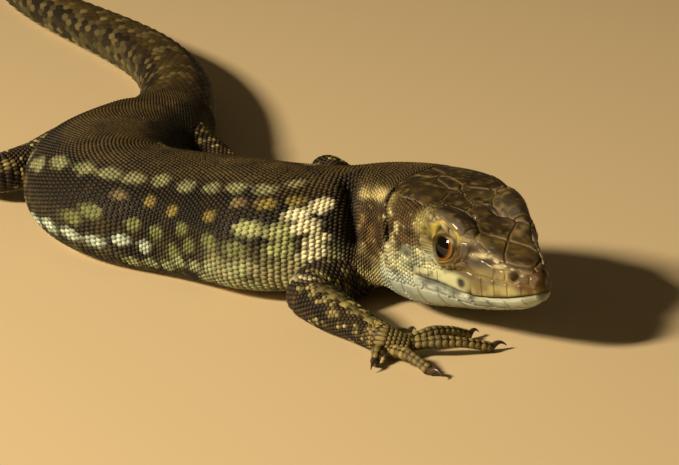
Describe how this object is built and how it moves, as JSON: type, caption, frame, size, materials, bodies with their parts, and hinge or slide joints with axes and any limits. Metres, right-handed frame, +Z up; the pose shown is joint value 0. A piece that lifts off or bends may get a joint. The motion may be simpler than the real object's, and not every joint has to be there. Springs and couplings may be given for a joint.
{
  "type": "wall lizard",
  "caption": "Life-size still model of a common wall lizard resting on its belly, head raised and turned to its right, tail trailing behind.",
  "frame": {"origin": "bottom centre of the whole lizard's box, on the floor that it rests on", "axes": "+Z up; +Y along the longest side of the box, from the head towards the tail; +X to the lizard's left as it lies"},
  "size_m": [0.0566, 0.1456, 0.0093],
  "materials": {
    "head_skin": "glossy olive-brown horny shields, pale cheeks",
    "body_skin": "satin granular scales, brown back, dark flank with yellow-green spots",
    "leg_skin": "satin granular scales, dark brown with yellow flecks",
    "claw": "semi-gloss brown horn, scaled brown toes",
    "eye": "wet gloss, black pupil in a golden-orange ring"
  },
  "bodies": {
    "root": {"head": "head_skin", "eye_right": "eye", "eye_left": "eye", "neck": "body_skin", "torso_front": "body_skin", "torso_rear": "body_skin", "pelvis": "body_skin", "tail_1": "body_skin", "tail_2": "body_skin", "tail_3": "body_skin", "tail_4": "body_skin", "tail_5": "body_skin", "right_upper_arm": "leg_skin", "right_forearm": "leg_skin", "right_hand": "claw", "left_upper_arm": "leg_skin", "left_forearm": "leg_skin", "left_hand": "claw", "right_thigh": "leg_skin", "right_shin": "leg_skin", "right_foot": "claw", "left_thigh": "leg_skin", "left_shin": "leg_skin", "left_foot": "claw"}
  },
  "joints": []
}
